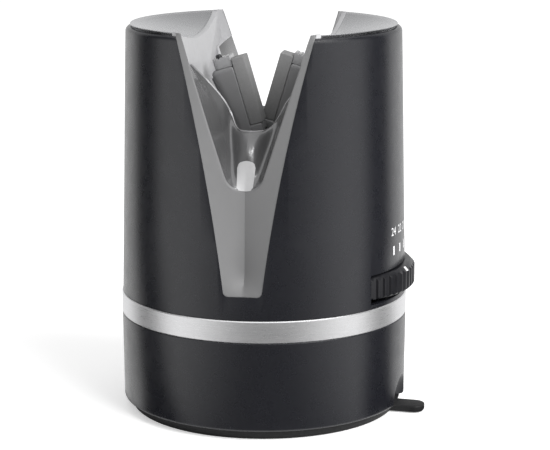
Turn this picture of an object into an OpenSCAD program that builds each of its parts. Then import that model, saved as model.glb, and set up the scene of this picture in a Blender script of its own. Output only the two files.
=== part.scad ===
/* [Body] */
// Height of the whole sharpener above the table
total_h = 110.5; // [108:0.5:116]
// Radius of the steel band round the waist
band_r = 41; // [40.5:0.25:43]
// Height of the steel band
band_h = 6.1; // [5.5:0.1:7]
// Height of the base above its rubber pad
base_h = 25.1; // [23:0.1:30]
// How far the foot of the base draws in from the band
base_draw = 0.3; // [0:0.05:0.8]
// How far the shell is set in from the band at its lower end
shell_set_in = 0.3; // [0.1:0.05:0.5]
// How far the top rim of the shell is set in from the band
rim_set_in = 2.1; // [1:0.1:2.6]
// Wall of the upper shell
shell_wall = 2.2; // [1.8:0.1:2.4]
// Wall of the base
base_wall = 2.5; // [2:0.1:3]

/* [Rubber pad] */
// Height of the rubber pad that shows below the base
pad_h = 2.7; // [2:0.1:4]
// How far the pad is set in from the band where it meets the table
pad_set_in = 2.8; // [2:0.1:5]
// Depth of the suction hollow under the pad
suction_depth = 1.2; // [0.6:0.1:1.6]
// Width of the pad's ring that rests on the table
suction_ring = 7.2; // [4:0.2:12]
// How far the pull tab reaches beyond the band
tab_out = 6.5; // [4:0.5:10]
// Width of the pull tab
tab_w = 7; // [6.5:0.5:10]
// Direction of the pull tab, from the right hand side towards the front
tab_turn = 7; // [0:1:20]

/* [Top] */
// Radius of the hollow that both top caps are dished to
dish_r = 134; // [120:1:160]
// Thickness of the top caps
cap_t = 2.2; // [1.8:0.1:2.6]
// Height of the dark groove between cap and shell
groove_h = 0.8; // [0.5:0.1:1]
// Depth of that groove
groove_d = 0.7; // [0.4:0.1:1]

/* [Blade guide] */
// Half width of the V cut at its lower end
cut_low_w = 5.15; // [4.5:0.05:6]
// Half width of the V cut at the rim
cut_top_w = 18.6; // [18:0.1:19]
// How far the sides of the V cut bow inwards at half height
cut_bow = 1.2; // [0.5:0.1:1.5]
// Height of the lower end of the V cut above the band
cut_sill = 6.5; // [6:0.1:8]
// Half angle of the opening in the face of the guide
mouth_angle = 17.7; // [16.5:0.1:18]
// Radius of the round lower end of that opening
mouth_r = 5.45; // [5:0.05:5.8]
// Depth of the lower end of that opening below the rim
mouth_depth = 42.1; // [41:0.1:43]
// How far the crease down the middle of the face is set in from the rim
crease_in = 2.9; // [1.8:0.1:3.4]
// Wall of the guide
guide_wall = 1.3; // [1.1:0.1:1.5]

/* [Arms] */
// Half angle of the V that the stones make, as shown
arm_angle = 16.5; // [15.5:0.1:17]
// Height of the point where the stones cross, above the pivot of the arms
cross_h = 14.5; // [14:0.25:15]
// Depth of the common pivot of the two arms below the rim
pivot_depth = 39; // [38.5:0.25:39.5]
// Radius of the pivot pin
pin_r = 2; // [1.5:0.1:2.2]
// Width of a stone across the V
stone_w = 3.75; // [3.4:0.05:3.75]
// Thickness of a stone along the blade
stone_t = 7; // [6:0.1:7.2]
// Length of a stone
stone_l = 19.4; // [18:0.1:20]
// Length of an arm below the pivot, to the middle of its shoe
tail_l = 15; // [14.5:0.1:15.2]
// Radius of the shoe at the end of an arm
shoe_r = 2.2; // [2:0.05:2.3]

/* [Angle setting] */
// Radius of the thumbwheel
wheel_r = 28.9; // [28.4:0.1:29.2]
// Height of the thumbwheel
wheel_h = 6.8; // [6:0.1:7]
// How far the thumbwheel stands out from the band
wheel_out = 2.4; // [1.8:0.1:2.8]
// Ribs round the thumbwheel
wheel_ribs = 72; // [60:2:90]
// Turn of the thumbwheel from the first mark to the last
wheel_turn = 54.4; // [50:0.2:56]
// Marks on the scale
mark_count = 6; // [5:1:7]
// Angle of the arms between the first mark and the last
arm_sweep = 10; // [8:0.5:10]
// Half angle of the lifting wedge
wedge_angle = 30; // [28:1:32]

/* [Hidden] */
$fn = 96;
// Overrun of every cut
over = 1;
// Seam between fixed parts that lie side by side
seam = 0.1;
// Gap between parts that move past each other
play = 0.3;
// Radial clearance of a shaft in its bore
run_fit = 0.05;

// Levels of the body, from the table up
base_z = pad_h;
band_z = base_z + base_h;
shell_z = band_z + band_h;
shell_r0 = band_r - shell_set_in;
rim_r = band_r - rim_set_in;
pad_r = band_r - pad_set_in;
suction_r = pad_r - suction_ring;
tab_reach = band_r + tab_out;
wheel_off = band_r + wheel_out - wheel_r;
cap_seat_z = total_h - cap_t;
taper = (shell_r0 - rim_r) / (total_h - shell_z);
function shell_r(z) = shell_r0 - taper * (z - shell_z);
dish_edge = 1;
dish_z = total_h - dish_r + sqrt(pow(dish_r, 2) - pow(rim_r - dish_edge, 2));

// The V cut, as an outline in width and height
cut_z = shell_z + cut_sill;
cut_corner = 1.5;
cut_steps = 14;
function cut_share(z) = (z - cut_z) / (total_h - dish_edge - cut_z);
function cut_w(z) = cut_low_w + (cut_top_w - cut_low_w) * cut_share(z)
    - 4 * cut_bow * cut_share(z) * (1 - cut_share(z));
function cut_side(inset) = concat(
    [for (a = [-90:30:-30]) [cut_w(cut_z + cut_corner) - cut_corner + cut_corner * cos(a) - inset,
        cut_z + cut_corner + cut_corner * sin(a) + inset]],
    [for (i = [0:cut_steps]) let (z = cut_z + cut_corner + i / cut_steps * (total_h + over - cut_z))
        [cut_w(z) - inset, z]]);
function mirrored(side) = concat(side, [for (i = [len(side) - 1:-1:0]) [-side[i][0], side[i][1]]]);

// The mouth in the face of the guide, as an outline from its lowest point up
mouth_z = total_h - mouth_depth;
mouth_mid_z = mouth_z + mouth_r;
crease_y = rim_r - crease_in;
function mouth_w(z) = (mouth_r + (z - mouth_mid_z) * sin(mouth_angle)) / cos(mouth_angle);
// Crest of the saddle behind the mouth, from the middle out: half width, depth from the
// crease and height over the mouth, and how far its rounded front stands forward
crest_points = [[0, 10.7, 15, 0.3], [2.2, 11, 15.2, 0.4], [4.2, 12.4, 16.2, 0.7], [5.8, 14.5, 18.6, 1],
    [7.6, 15, 21.8, 1], [9.9, 13.2, 25.6, 1], [12.3, 8.2, 29.6, 0.8], [14.9, 1.3, 34.1, 0.2]];
crest_count = len(crest_points);
round_steps = 4;
function mouth_point(i) = i < round_steps
    ? let (a = -90 + i / round_steps * (90 - mouth_angle))
        [mouth_r * cos(a), mouth_mid_z + mouth_r * sin(a)]
    : let (low = mouth_mid_z - mouth_r * sin(mouth_angle), high = mouth_z + crest_points[crest_count - 1][2],
        z = low + (i - round_steps) / (crest_count - 1 - round_steps) * (high - low))
        [mouth_w(z), z];
mouth_side = [for (i = [0:crest_count - 1]) mouth_point(i)];
mouth_top_z = total_h + over;

// The bay inside the guide, where the arms stand
bay_top_w = 18.8;
bay_slope = 0.15;
pivot_z = total_h - pivot_depth;
cross_z = pivot_z + cross_h;
hub_r = 4.4;
cheek_r = hub_r + 0.5;
bay_floor_z = pivot_z + cheek_r + 2 * play + guide_wall;
flange_y = rim_r - 6.4;
web_y = rim_r - 20.4;
mouth_y = crease_y + 0.5;
function bay_w(z) = bay_top_w - bay_slope * (total_h - z);
arm_slot_x = 8.6;
arm_slot_y = 9.2;
gutter_r = 2.4;
gutter_slope = 25;

// The arms, in a frame that stands on the pivot with the arm upright
layer_gap = 0.6;
stone_edge = (cross_z - pivot_z) * sin(arm_angle);
stone_low = (cross_z - pivot_z) * cos(arm_angle) - 3;
stone_x = -stone_edge;
stone_seat = 0.05;
holder_low = 8.5;
holder_high = stone_low + stone_l - 2;
holder_low_w = 4.8;
holder_high_w = 6.4;
holder_t = stone_t + 0.4;
rib_t = 1.1;
tail_w = 4.8;
tail_y = 0.8;
tail_t = 4.4;
cap_h = 3;
cap_pin_r = 0.9;

// The thumbwheel, its window and its cam
wheel_z = shell_z + 2.2;
wheel_top = wheel_z + wheel_h;
wheel_chamfer = 1.3;
rib_depth = 0.55;
window_angle = 35.2;
window_z = shell_z + 1.2;
window_top = wheel_top + 0.5;
web_t = 2;
rim_t = 4;
wheel_hub_r = 5.5;
axle_r = 3;
cam_in = 7.5;
cam_out = 12.5;
cam_mid = (cam_in + cam_out) / 2;
cam_steps = 18;
cam_extra = 14;
rest_mark = 1;
mark_step = wheel_turn / (mark_count - 1);
first_mark = -wheel_turn / 2;
rest_turn = first_mark + rest_mark * mark_step;

// The lifter's travel follows from the wedge and the tails
arm_high = arm_angle + arm_sweep * rest_mark / (mark_count - 1);
arm_low = arm_high - arm_sweep;
function wedge_tip(a) = pivot_z - tail_l * cos(a)
    + (tail_l * sin(a) * cos(wedge_angle) - shoe_r - play) / sin(wedge_angle);
lift_travel = wedge_tip(arm_high) - wedge_tip(arm_low);
cam_pitch = lift_travel / wheel_turn;

// The inner frame
frame_z = wheel_top + 1;
frame_t = 2.4;
frame_top = frame_z + frame_t;
boss_r = 3;
boss_at = band_r - 6.4;
boss_turns = [70, 110, 250, 290];
screw_r = 1.25;
screw_head_r = 2.6;
screw_head_h = 1.6;
cheek_y = 11;
cheek_t = 3;
cheek_w = 12;
rod_r = 1.5;
rod_y = 8.4;
rod_len = 11;
rod_top = frame_top + rod_len;
lift_plate_t = 2.6;
lift_low_gap = 0.3;
lift_down = wedge_tip(arm_angle) - wedge_tip(arm_low);
lift_z = frame_top + lift_low_gap + lift_down;
foot_r = 2;
cam_slope = cam_pitch * 180 / PI / cam_mid;
foot_gap = (foot_r + play) * sqrt(1 + pow(cam_slope, 2));
cam_rest_z = lift_z - 3 - foot_gap;

// The deck between base and shell
deck_z = band_z + 1.6;
deck_t = 2.4;
deck_top = deck_z + deck_t;
deck_rim_r = band_r - 1.3;
deck_rim_t = 3.2;
base_floor_z = pad_h + 2.5;
base_floor_t = 2.5;
base_boss_at = band_r - 12;
base_boss_turns = [45, 135, 225, 315];

// Shapes that more than one part uses
module along_y(depth) { rotate([90, 0, 0]) linear_extrude(height = depth, center = true) children(); }
module ring_at(r, turns) { for (a = turns) rotate([0, 0, a]) translate([r, 0, 0]) children(); }
module cut_prism(inset) { along_y(4 * band_r) polygon(mirrored(cut_side(inset))); }
module body_cone(inset, z0, z1) {
    translate([0, 0, z0]) cylinder(h = z1 - z0, r1 = shell_r(z0) - inset, r2 = shell_r(z1) - inset);
}
module dish(extra) { translate([0, 0, dish_z + dish_r]) sphere(r = dish_r + extra, $fn = 180); }
module tube(r_in, r_out, h) {
    difference() {
        cylinder(h = h, r = r_out);
        translate([0, 0, -over]) cylinder(h = h + 2 * over, r = r_in);
    }
}
module pin_y(r, y0, y1) { translate([0, y1, 0]) rotate([90, 0, 0]) cylinder(h = y1 - y0, r = r); }
module screw(head_r, head_h, r, l) {
    cylinder(h = head_h, r = head_r);
    translate([0, 0, head_h]) cylinder(h = l, r = r);
}
module screw_slot(head_r, head_h) {
    slot_w = head_r / 3;
    translate([-head_r, -slot_w / 2, -over]) cube([2 * head_r, slot_w, over + head_h / 3]);
}

// Rubber pad that grips the table, with the tab that lets the air in
tab_t = 1.9;
tab_z = 0.3;
tab_corner = 3;
pad_flare = 1.3;
module tab_outline() {
    half = tab_w / 2 - tab_corner;
    translate([pad_r - tab_w / 2, -tab_w / 2]) square([tab_reach - pad_r + tab_w / 2 - tab_corner, tab_w]);
    translate([tab_reach - tab_corner - tab_w / 4, -half]) square([tab_corner + tab_w / 4, 2 * half]);
    for (s = [-1, 1]) translate([tab_reach - tab_corner, s * half]) circle(r = tab_corner);
}
module suction_pad() {
    color("#2a2a2c") difference() {
        union() {
            cylinder(h = base_z - seam, r1 = pad_r, r2 = pad_r + pad_flare);
            cylinder(h = base_floor_z - seam, r = pad_r);
            rotate([0, 0, -tab_turn]) translate([0, 0, tab_z]) linear_extrude(height = tab_t) tab_outline();
        }
        translate([0, 0, -over]) cylinder(h = suction_depth + over, r = suction_r);
        cylinder(h = base_z + base_h, r = screw_r + run_fit);
        translate([0, 0, -over]) cylinder(h = over + pad_h, r = 3 * screw_r);
    }
}
washer_h = 1;
module pad_washer() {
    color("#9a9c9e") translate([0, 0, base_floor_z + base_floor_t + seam])
        tube(screw_r + run_fit, pad_r / 6, washer_h);
}
module pad_screw() {
    head_z = pad_h - screw_head_h;
    color("#9a9c9e") translate([0, 0, head_z]) difference() {
        screw(screw_head_r, screw_head_h, screw_r, base_floor_z + base_floor_t + washer_h + 4 * seam - pad_h + 2);
        screw_slot(screw_head_r, screw_head_h);
    }
}

// Lower housing, with the finger scoop over the tab
base_edge = 0.8;
scoop_r = 9;
scoop_at = band_r + 4.6;
base_boss_r = 3.4;
module base_profile() {
    low_r = band_r - base_draw;
    polygon(concat(
        [[0, base_z]],
        [for (a = [-90:15:0]) [low_r - base_edge + base_edge * cos(a), base_z + base_edge + base_edge * sin(a)]],
        [[band_r, band_z], [0, band_z]]));
}
module base_shell() {
    skirt_in = pad_r + play;
    color("#2b2c2f") difference() {
        union() {
            difference() {
                rotate_extrude($fn = 180) base_profile();
                translate([0, 0, base_floor_z + base_floor_t])
                    cylinder(h = base_h, r = band_r - base_draw - base_wall);
                translate([0, 0, -over]) cylinder(h = over + base_floor_z, r = skirt_in);
            }
            ring_at(base_boss_at, base_boss_turns) translate([0, 0, base_floor_z + over])
                cylinder(h = deck_z - base_floor_z - over - seam, r = base_boss_r);
        }
        rotate([0, 0, -tab_turn]) translate([scoop_at, 0, base_z]) sphere(r = scoop_r);
        cylinder(h = base_h, r = screw_r + run_fit);
        ring_at(base_boss_at, base_boss_turns) {
            translate([0, 0, base_floor_z - over]) cylinder(h = over + screw_head_h + seam, r = screw_head_r + seam);
            cylinder(h = band_z + band_h, r = screw_r + run_fit);
        }
    }
}
module base_screws() {
    color("#8d8f92") ring_at(base_boss_at, base_boss_turns) translate([0, 0, base_floor_z]) difference() {
        screw(screw_head_r, screw_head_h, screw_r, deck_top - base_floor_z - screw_head_h);
        screw_slot(screw_head_r, screw_head_h);
    }
}

// Brushed band that covers the joint between base and shell
module trim_band() {
    color("#c9cbcd") translate([0, 0, band_z]) difference() {
        cylinder(h = band_h, r = band_r, $fn = 180);
        translate([0, 0, -over]) cylinder(h = band_h + 2 * over, r = deck_rim_r + seam, $fn = 180);
    }
}

// Deck that joins the two housings and carries the wheel
spigot_h = 2;
module deck_plate() {
    color("#3a3b3d") difference() {
        union() {
            difference() {
                translate([0, 0, band_z]) cylinder(h = band_h, r = deck_rim_r, $fn = 180);
                translate([0, 0, band_z - over]) cylinder(h = band_h + 2 * over, r = deck_rim_r - deck_rim_t);
            }
            translate([0, 0, deck_z]) cylinder(h = deck_t, r = deck_rim_r - deck_rim_t + over);
            translate([0, 0, band_z - spigot_h]) tube(deck_rim_r - deck_rim_t, band_r - base_draw - base_wall - seam,
                spigot_h + over);
            ring_at(boss_at, boss_turns) translate([0, 0, deck_z]) cylinder(h = shell_z - deck_z, r = boss_r + over);
            translate([wheel_off, 0, deck_z]) cylinder(h = wheel_z - play - deck_z, r = wheel_hub_r);
        }
        ring_at(base_boss_at, base_boss_turns) translate([0, 0, band_z - over])
            cylinder(h = 2 * band_h, r = screw_r + run_fit);
        ring_at(boss_at, boss_turns) {
            translate([0, 0, band_z - spigot_h - over])
                cylinder(h = over + spigot_h + deck_z - band_z + screw_head_h / 2, r = screw_head_r + seam);
            translate([0, 0, band_z]) cylinder(h = 2 * band_h, r = screw_r + run_fit);
        }
        translate([wheel_off, 0, band_z]) cylinder(h = 2 * band_h, r = axle_r + run_fit);
        translate([wheel_off, 0, band_z - over]) cylinder(h = over + deck_z - band_z, r = wheel_hub_r);
    }
}

// Upper shell, with the V cut through it and the window for the thumbwheel
shell_edge = 0.6;
rib_w = 2.4;
module shell_profile() {
    polygon(concat(
        [[shell_r(shell_z) - shell_wall, shell_z], [shell_r(shell_z), shell_z]],
        [for (a = [0:22.5:90]) [shell_r(cap_seat_z) - shell_edge + shell_edge * cos(a),
            cap_seat_z - shell_edge + shell_edge * sin(a)]],
        [[shell_r(cap_seat_z) - shell_wall, cap_seat_z]]));
}
module wheel_window() {
    reach = 2 * band_r;
    translate([0, 0, window_z]) linear_extrude(height = window_top - window_z)
        polygon([[0, 0], [reach, -reach * tan(window_angle)], [reach, reach * tan(window_angle)]]);
}
module outer_shell() {
    color("#26272a") difference() {
        union() {
            rotate_extrude($fn = 180) shell_profile();
            ring_at(boss_at, boss_turns) {
                translate([0, 0, shell_z]) cylinder(h = frame_z - shell_z, r = boss_r);
                translate([0, -rib_w / 2, shell_z])
                    cube([shell_r0 - shell_wall / 2 - boss_at, rib_w, frame_z - shell_z]);
            }
        }
        cut_prism(0);
        difference() {
            wheel_window();
            cylinder(h = total_h, r = shell_r0 - shell_wall - over);
        }
        translate([wheel_off, 0, window_z]) cylinder(h = window_top - window_z, r = wheel_r + play);
        ring_at(boss_at, boss_turns) translate([0, 0, shell_z - over])
            cylinder(h = total_h, r = screw_r + run_fit);
        scale_bars(over);
    }
}
module shell_screws() {
    color("#8d8f92") ring_at(boss_at, boss_turns) translate([0, 0, deck_z - screw_head_h / 2]) difference() {
        screw(screw_head_r, screw_head_h, screw_r, shell_z - deck_z + 4 * screw_r);
        screw_slot(screw_head_r, screw_head_h);
    }
}

// White marks of the angle scale, let into the shell over the window
mark_w = 1.2;
mark_h = 2.5;
mark_z = window_top + 3.7;
mark_depth = 0.4;
function mark_turn(i) = first_mark + i * mark_step;
function mark_reach(t) = -wheel_off * cos(t) + sqrt(pow(shell_r(mark_z + mark_h / 2), 2) - pow(wheel_off * sin(t), 2));
function mark_spot(t) = [wheel_off + mark_reach(t) * cos(t), mark_reach(t) * sin(t)];
module scale_bars(reach) {
    low = shell_r(mark_z) - mark_depth;
    for (i = [0:mark_count - 1]) let (p = mark_spot(mark_turn(i)))
        rotate([0, 0, atan2(p[1], p[0])]) translate([low, -mark_w / 2, mark_z])
            cube([shell_r(mark_z + mark_h) - low + reach, mark_w, mark_h]);
}
module scale_marks() { color("#f0f0f0") scale_bars(0); }

// Dished caps that close the shell at either side of the V
cap_edge = 0.9;
module cap_profile() {
    lip_z = cap_seat_z + groove_h;
    polygon(concat(
        [[0, dish_z - 2 * cap_t], [rim_r - shell_wall - seam, dish_z - 2 * cap_t],
            [rim_r - shell_wall - seam, cap_seat_z],
            [rim_r - groove_d, cap_seat_z], [rim_r - groove_d, lip_z], [rim_r, lip_z]],
        [for (a = [0:15:90]) [rim_r - cap_edge + cap_edge * cos(a), total_h - cap_edge + cap_edge * sin(a)]],
        [[0, total_h]]));
}
module guide_outline(grow) {
    low_z = bay_floor_z - guide_wall - grow;
    polygon([[-bay_w(low_z) - guide_wall - grow, low_z], [bay_w(low_z) + guide_wall + grow, low_z],
        [bay_w(total_h + over) + guide_wall + grow, total_h + over],
        [-bay_w(total_h + over) - guide_wall - grow, total_h + over]]);
}
module top_cap() {
    difference() {
        intersection() {
            rotate_extrude($fn = 180) cap_profile();
            dish(cap_t);
        }
        dish(0);
        along_y(4 * band_r) guide_outline(seam);
        translate([-2 * band_r, -2 * band_r, 0]) cube([2 * band_r, 4 * band_r, 2 * total_h]);
    }
}
module right_top_cap() { color("#8f9296") top_cap(); }
module left_top_cap() { color("#8f9296") rotate([0, 0, 180]) top_cap(); }

// Space in front of the creased face of the guide
face_levels = 20;
face_columns = 1;
face_reach = rim_r - 12.9;
lip_w = 1.4;
function face_y(z, x) = let (w = cut_w(z), y = sqrt(pow(shell_r(z), 2) - pow(w, 2)))
    -crease_y - (y - crease_y) * abs(x) / w;
function face_row(z) = let (reach = cut_w(max(z, cut_z)) + 2 * lip_w)
    concat([for (i = [-face_columns:face_columns]) let (x = reach * i / face_columns) [x, face_y(max(z, cut_z), x), z]],
        [[reach, -3 * band_r, z], [-reach, -3 * band_r, z]]);
module face_space() {
    low = cut_z - 2 * over;
    step = (total_h + 2 * over - low) / face_levels;
    n = 2 * face_columns + 3;
    levels = [for (i = [0:face_levels]) face_row(low + i * step)];
    sides = [for (i = [0:face_levels - 1], j = [0:n - 1]) let (a = n * i + j, b = n * i + (j + 1) % n)
        each [[a, b, b + n], [a, b + n, a + n]]];
    polyhedron(points = [for (l = levels) each l],
        faces = concat(sides, [[for (j = [n - 1:-1:0]) j]], [[for (j = [0:n - 1]) n * face_levels + j]]));
}
// Space over the saddle, from the mouth over the crest and down into the bay
function part_way(a, b, share) = a + (b - a) * share;
function bulge(i) = max(0, (i - round_steps) * (crest_count + 1 - i)) * play / 6;
function saddle_point(i, k) = let (m = mouth_side[i], c = crest_points[i], low = bay_floor_z + (over + pow(crest_points[i][0] / 8, 2)) / 2,
    crest = [c[0], c[1] - crease_y, mouth_z + c[2]], mouth = [m[0], -mouth_y, m[1]],
    near = max(0, 1 - i / 3),
    foot = [part_way(mouth[0], crest[0], 0.5), part_way(mouth[1], crest[1], 0.5 + 0.35 * near),
        part_way(mouth[2], crest[2], 0.5 - 0.18 * near)])
    k == 0 ? [m[0] + bulge(i), -3 * band_r, m[1]]
    : k == 1 ? mouth
    : k == 2 ? foot
    : k == 3 ? crest - c[3] * [0, 4, 0.7]
    : k == 4 ? crest
    : k == 5 ? [min(crest[0] + min(i, 1), bay_w(crest[2] - 3) - play), crest[1] + 1, max(crest[2] - 3, low)]
    : [min(crest[0] + 3 * min(i, 1), bay_w(crest[2] - 9) - play), over - web_y, max(crest[2] - 9, low)];
function saddle_top(k) = let (last = saddle_point(crest_count - 1, k), top = [mouth_w(mouth_top_z), last[1], mouth_top_z])
    k < 5 ? [part_way(last, top, 0.5) + [k == 0 ? bulge(crest_count) : 0, 0, 0], top]
    : [[bay_w(last[2]) + guide_wall / 2, last[1], last[2]], [bay_w(mouth_top_z) + guide_wall / 2, last[1], mouth_top_z]];
function saddle_ring(k) = let (half = concat([for (i = [0:crest_count - 1]) saddle_point(i, k)], saddle_top(k)))
    concat(half, [for (i = [len(half) - 1:-1:1]) [-half[i][0], half[i][1], half[i][2]]]);
module saddle_space() {
    rings = [for (k = [0:6]) saddle_ring(k)];
    n = len(rings[0]);
    sides = [for (i = [0:5], j = [0:n - 1]) let (a = n * i + j, b = n * i + (j + 1) % n)
        each [[a, b, b + n], [a, b + n, a + n]]];
    polyhedron(points = [for (r = rings) each r],
        faces = concat(sides, [[for (j = [n - 1:-1:0]) j]], [[for (j = [0:n - 1]) 6 * n + j]]));
}
module gutter_space() {
    run = (mouth_y + over - crease_y + crest_points[0][1]) / cos(gutter_slope);
    translate([0, -mouth_y - over, mouth_z + gutter_r / cos(gutter_slope)]) rotate([gutter_slope - 90, 0, 0]) {
        cylinder(h = run - gutter_r, r = gutter_r);
        translate([0, 0, run - gutter_r]) sphere(r = gutter_r);
    }
}

// Satin guide that lines the V and steadies the blade
face_t = 2.6;
wall_lap = 2;
web_low = 4;
module guide_region() {
    body_cone(shell_wall + seam, shell_z, total_h);
    intersection() {
        cut_prism(seam);
        body_cone(0, shell_z, total_h);
    }
    translate([0, 0, cap_seat_z + seam]) cylinder(h = cap_t - seam, r = rim_r - groove_d);
}
module saddle_block() {
    crest_top = mouth_z + crest_points[crest_count - 1][2] + over;
    translate([0, -(web_y + flange_y + over) / 2, 0]) along_y(flange_y + over - web_y)
        polygon([[-bay_w(bay_floor_z) - over / 2, bay_floor_z - guide_wall / 2],
            [bay_w(bay_floor_z) + over / 2, bay_floor_z - guide_wall / 2],
            [bay_w(crest_top) + over / 2, crest_top], [-bay_w(crest_top) - over / 2, crest_top]]);
}
module guide_front() {
    low = cut_z - over;
    high = mouth_z - web_low + over;
    low_w = cut_low_w + lip_w;
    high_w = cut_w(high) + lip_w;
    translate([0, -(2 * band_r + crease_y - face_t) / 2, 0]) along_y(2 * band_r - crease_y + face_t)
        polygon([[-low_w, low], [low_w, low], [high_w, high], [-high_w, high]]);
    translate([0, -(2 * band_r + flange_y) / 2, 0]) along_y(2 * band_r - flange_y)
        polygon([[-face_reach, mouth_z - web_low], [face_reach, mouth_z - web_low],
            [face_reach, bay_floor_z], [bay_w(total_h + over) + guide_wall, total_h + over],
            [-bay_w(total_h + over) - guide_wall, total_h + over], [-face_reach, bay_floor_z]]);
}
module guide_walls() {
    difference() {
        along_y(2 * (flange_y + wall_lap)) guide_outline(0);
        along_y(4 * band_r) polygon([[-bay_w(bay_floor_z), bay_floor_z], [bay_w(bay_floor_z), bay_floor_z],
            [bay_w(total_h + over), total_h + over], [-bay_w(total_h + over), total_h + over]]);
    }
}
module guide_body() {
    difference() {
        union() {
            guide_walls();
            for (a = [0, 180]) rotate([0, 0, a]) difference() {
                union() {
                    guide_front();
                    saddle_block();
                    translate([-bay_w(bay_floor_z) / 2, -flange_y - over, mouth_z - web_low])
                        cube([bay_w(bay_floor_z), flange_y + over - web_y, bay_floor_z - mouth_z + web_low - guide_wall / 2]);
                }
                face_space();
                saddle_space();
                gutter_space();
            }
        }
        translate([-arm_slot_x, -arm_slot_y, 0]) cube([2 * arm_slot_x, 2 * arm_slot_y, bay_floor_z + over]);
    }
}
module blade_guide() {
    color("#a9abad") difference() {
        intersection() {
            guide_body();
            guide_region();
        }
        dish(0);
    }
}

// Frame that carries the pivot, the guide rods and the upper end of the axle
module inner_frame() {
    notch_x = cut_w(frame_top) + lip_w + over;
    notch_y = crease_y - face_t - over;
    color("#55585b") difference() {
        union() {
            translate([0, 0, frame_z]) cylinder(h = frame_t, r = shell_r(frame_top) - shell_wall - play);
            for (s = [-1, 1]) translate([0, s * (cheek_y + cheek_t / 2), 0]) along_y(cheek_t) {
                polygon([[-cheek_w / 2, frame_z], [cheek_w / 2, frame_z], [cheek_r, pivot_z], [-cheek_r, pivot_z]]);
                translate([0, pivot_z]) circle(r = cheek_r);
            }
            ring_at(rod_y, [90, 270]) translate([0, 0, frame_z]) cylinder(h = frame_t + lift_low_gap / 2, r = 2 * rod_r);
        }
        for (s = [0, 180]) rotate([0, 0, s])
            translate([-notch_x, -2 * band_r, frame_z - over]) cube([2 * notch_x, 2 * band_r - notch_y, 2 * frame_t]);
        translate([0, 0, pivot_z]) pin_y(pin_r, -2 * cheek_y, 2 * cheek_y);
        ring_at(rod_y, [90, 270]) translate([0, 0, frame_z - over]) cylinder(h = 3 * frame_t, r = rod_r);
        ring_at(boss_at, boss_turns) translate([0, 0, frame_z - over])
            cylinder(h = 2 * frame_t, r = screw_r + run_fit);
        translate([wheel_off, 0, frame_z - over]) cylinder(h = 2 * frame_t, r = axle_r);
        intersection() {
            translate([wheel_off, 0, frame_z - over]) tube(cam_in - 3 * play, cam_out + 2 * play, 3 * frame_t);
            translate([-cheek_w, -2 * cam_out, 0]) cube([cheek_w + wheel_off - rod_r, 4 * cam_out, total_h]);
        }
    }
}
module frame_screws() {
    color("#8d8f92") ring_at(boss_at, boss_turns) translate([0, 0, frame_top + screw_head_h]) mirror([0, 0, 1])
        difference() {
            screw(screw_head_r, screw_head_h, screw_r, frame_t + 1.2 * screw_r);
            screw_slot(screw_head_r, screw_head_h);
        }
}
pin_end = 1.6;
module pivot_pin() {
    reach = cheek_y + cheek_t;
    color("#b9bbbd") translate([0, 0, pivot_z]) {
        pin_y(pin_r, -reach, reach + pin_end);
        pin_y(1.7 * pin_r, -reach - pin_end, -reach);
    }
}
module pivot_clip() {
    reach = cheek_y + cheek_t;
    color("#777a7c") translate([0, reach + seam + pin_end / 2, pivot_z]) rotate([90, 0, 0])
        tube(pin_r, 1.8 * pin_r, pin_end / 2);
}

// One arm in its own frame: upright, turning about the pivot, its stone towards the V
module at_arm() { translate([0, 0, pivot_z]) rotate([0, arm_angle, 0]) children(); }
holder_round = 1.4;
module arm_shape() {
    difference() {
        union() {
            pin_y(hub_r, layer_gap, tail_y + tail_t);
            translate([-tail_w / 2, tail_y, -tail_l + shoe_r]) cube([tail_w, tail_t, tail_l - shoe_r + holder_low + over]);
            translate([-shoe_r / 2, tail_y + tail_t / 4, -tail_l - shoe_r / 2]) cube([shoe_r, tail_t / 2, 2 * shoe_r]);
            translate([0, layer_gap + holder_t / 2, 0]) along_y(holder_t) {
                polygon([[stone_x + stone_w + stone_seat, holder_low], [holder_low_w - rib_t, holder_low],
                    [holder_low_w - rib_t, holder_low], [holder_high_w, holder_high - holder_round],
                    [holder_high_w - holder_round, holder_high],
                    [stone_x + stone_w + stone_seat, holder_high]]);
                translate([holder_high_w - holder_round, holder_high - holder_round]) circle(r = holder_round);
                polygon([[stone_x + over / 2, holder_low], [0, holder_low], [0, stone_low - stone_seat],
                    [stone_x + over / 2, stone_low - stone_seat]]);
            }
            translate([0, layer_gap + 1.5 * rib_t, 0]) along_y(rib_t)
                polygon([[0, holder_low], [holder_low_w, holder_low + rib_t], [holder_high_w + rib_t, holder_high - 2 * rib_t],
                    [0, holder_high - 2 * rib_t]]);
        }
        pin_y(pin_r + run_fit, -over, 2 * holder_t);
    }
}
module stone_shape() {
    translate([stone_x, layer_gap + holder_t / 2 - stone_t / 2, stone_low]) cube([stone_w, stone_t, stone_l]);
}
module stone_cap_shape() {
    low_x = stone_x + stone_w + stone_seat;
    wide = holder_high_w - low_x;
    translate([low_x, layer_gap + rib_t / 2, holder_high + stone_seat]) {
        difference() {
            cube([wide - holder_round, holder_t - rib_t, cap_h]);
            for (i = [1:4]) translate([i * wide / 6, -over, cap_h]) rotate([-90, 0, 0])
                cylinder(h = holder_t + over, r = rib_t / 3);
            translate([wide / 2, holder_t / 2 + rib_t, cap_h / 3]) cylinder(h = cap_h, r = cap_pin_r);
        }
    }
}
module cap_pin_shape() {
    low_x = stone_x + stone_w + stone_seat;
    wide = holder_high_w - low_x;
    translate([low_x + wide / 2, layer_gap + rib_t / 2 + holder_t / 2 + rib_t, holder_high + stone_seat + cap_h / 3])
        cylinder(h = cap_h, r = cap_pin_r);
}
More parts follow.
